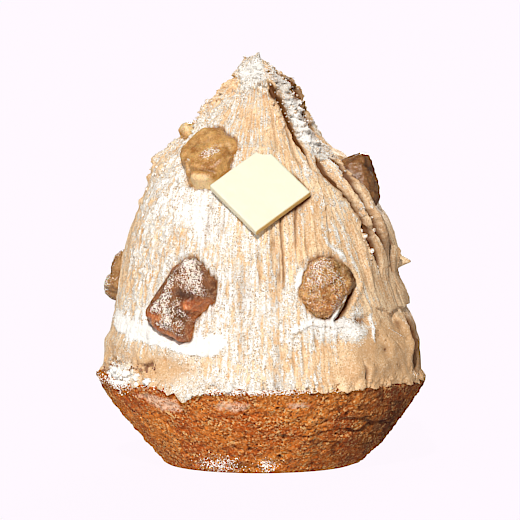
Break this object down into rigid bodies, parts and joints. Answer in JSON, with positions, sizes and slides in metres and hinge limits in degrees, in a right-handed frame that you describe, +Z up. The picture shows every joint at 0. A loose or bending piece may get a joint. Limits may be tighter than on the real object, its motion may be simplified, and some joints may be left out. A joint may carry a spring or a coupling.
{
  "type": "chestnut cream dessert",
  "caption": "Single dessert: a peaked mound of spatula-drawn chestnut cream on a flared pastry tartlet, set with broken candied chestnuts and a plain white chocolate plaque.",
  "frame": {"origin": "centre of the flat foot that the pastry stands on", "axes": "+Z up along the dessert's axis, -Y towards the side with the plaque, +X to the right seen from there"},
  "size_m": [0.0796, 0.0797, 0.1],
  "materials": {
    "pastry": "baked golden-brown crumb, open and matt",
    "chestnut_cream": "soft cream drawn by a spatula, dusted with powdered sugar",
    "candied_chestnut": "glazed and slightly see-through, dusted with powdered sugar",
    "white_chocolate": "smooth satin"
  },
  "bodies": {
    "root": {"pastry_base": "pastry", "cream_mound": "chestnut_cream", "chocolate_plaque": "white_chocolate", "chestnut_upper_left": "candied_chestnut", "chestnut_lower_left": "candied_chestnut", "chestnut_lower_right": "candied_chestnut", "chestnut_right_side": "candied_chestnut", "chestnut_left_side": "candied_chestnut", "chestnut_back_upper": "candied_chestnut", "chestnut_back_right": "candied_chestnut", "chestnut_back_left": "candied_chestnut", "chestnut_crumb": "candied_chestnut"}
  },
  "joints": []
}
